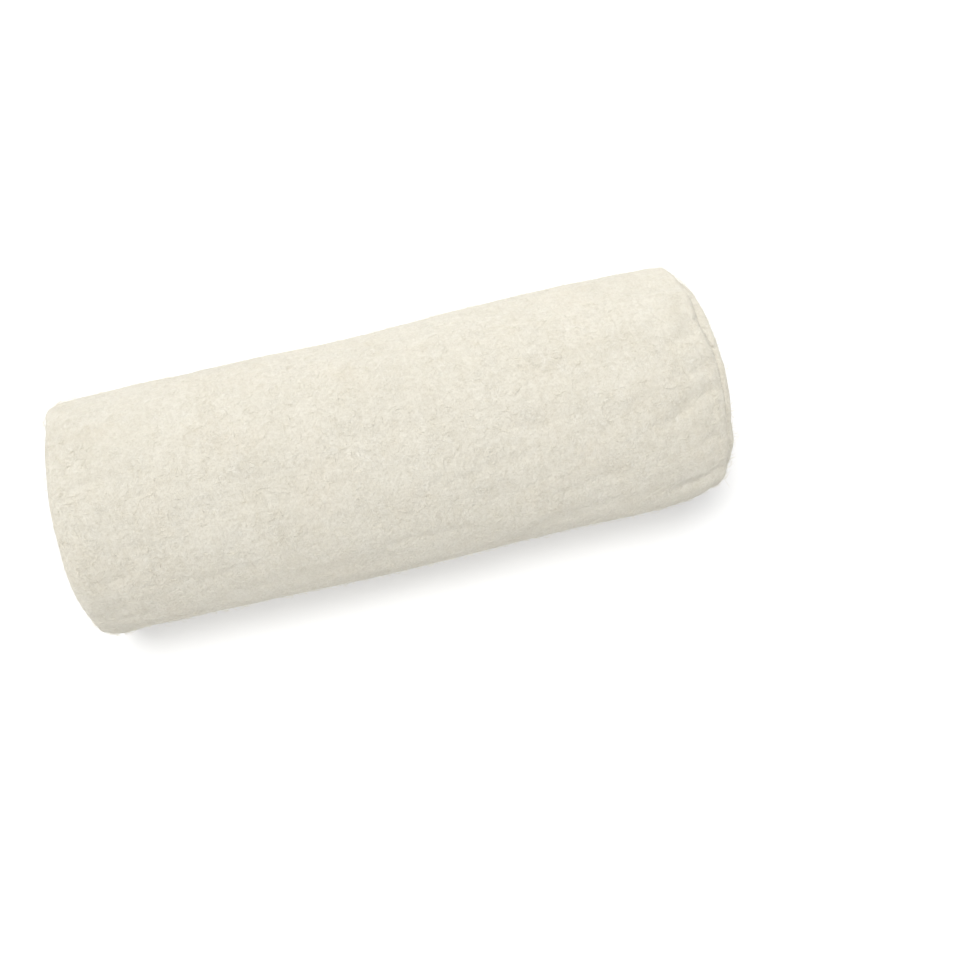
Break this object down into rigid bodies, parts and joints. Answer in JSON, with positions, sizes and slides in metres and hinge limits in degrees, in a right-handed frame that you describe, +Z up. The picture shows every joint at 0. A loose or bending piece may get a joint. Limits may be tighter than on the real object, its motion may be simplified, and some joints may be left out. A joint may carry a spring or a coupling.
{
  "type": "roll of batting",
  "caption": "Soft cream batting, folded in thirds and rolled up, lying on a small flat spot with one rounded end and its tail low on the back.",
  "frame": {"origin": "under the middle of the roll's bounding box, on the surface that it lies on", "axes": "+X along the roll towards its rounded end, +Y towards the back, where the tail is, +Z up"},
  "size_m": [0.38, 0.1404, 0.1309],
  "materials": {
    "batting": "soft matt needled fibre, unbleached cream"
  },
  "bodies": {
    "root": {"batting_roll": "batting"}
  },
  "joints": []
}
